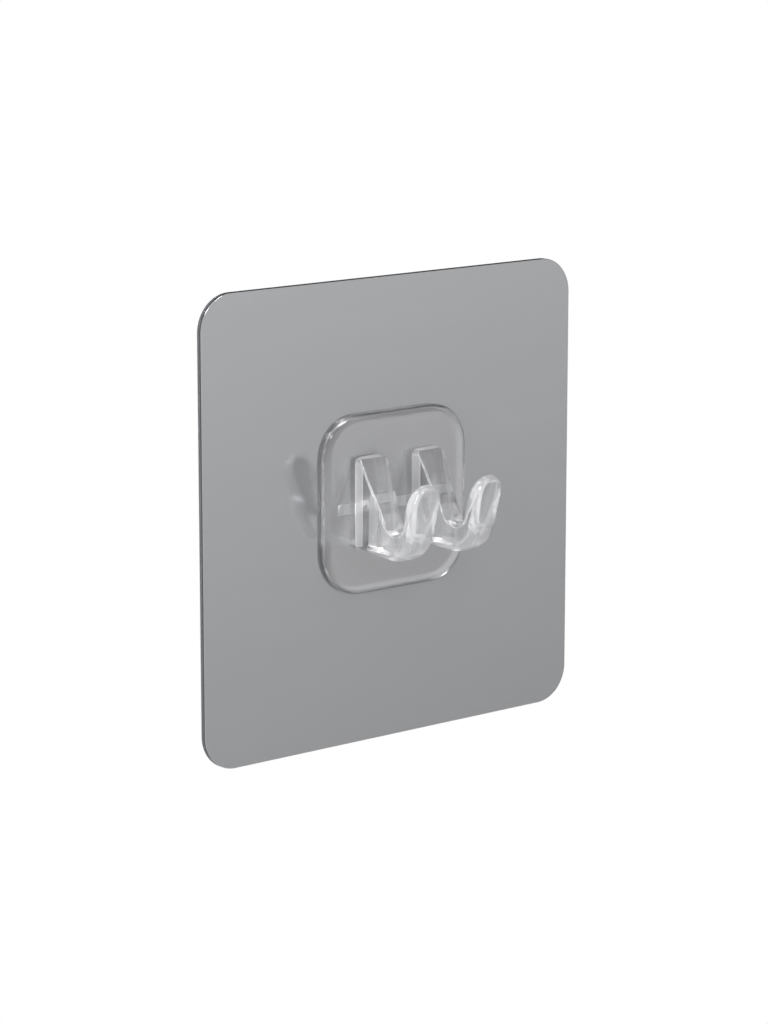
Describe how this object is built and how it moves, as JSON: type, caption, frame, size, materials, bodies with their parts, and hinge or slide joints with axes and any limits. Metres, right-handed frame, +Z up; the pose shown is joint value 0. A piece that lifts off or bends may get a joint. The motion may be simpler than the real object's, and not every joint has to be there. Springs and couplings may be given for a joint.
{
  "type": "adhesive wall hook",
  "caption": "Clear moulded hooks on a softly rounded base, bonded to a square grey self-adhesive sheet with a peel-off liner; they hang light things on a smooth wall.",
  "frame": {"origin": "middle of the sheet's wall side, which is the outer face of the liner while it is on", "axes": "+Z up, +Y into the wall, hooks towards -Y, +X to the right for someone facing the hooks"},
  "size_m": [0.06, 0.0146, 0.06],
  "materials": {
    "clear_plastic": "polished clear injection moulding",
    "clear_bond": "clear acrylic adhesive, wetted out on the grey film",
    "grey_film": "smooth silver-grey calendered film with a satin gloss",
    "gel_adhesive": "tacky smooth grey gel",
    "liner_film": "thin siliconised film"
  },
  "bodies": {
    "hook": {"hook_moulding": "clear_plastic", "bond_pad": "clear_bond", "film_sheet": "grey_film", "adhesive_layer": "gel_adhesive"},
    "liner": {"release_liner": "liner_film"}
  },
  "joints": [
    {"name": "liner_peel", "type": "slide", "parent": "hook", "child": "liner", "axis": [0, 1, 0], "range_m": [0, 0.04]}
  ]
}
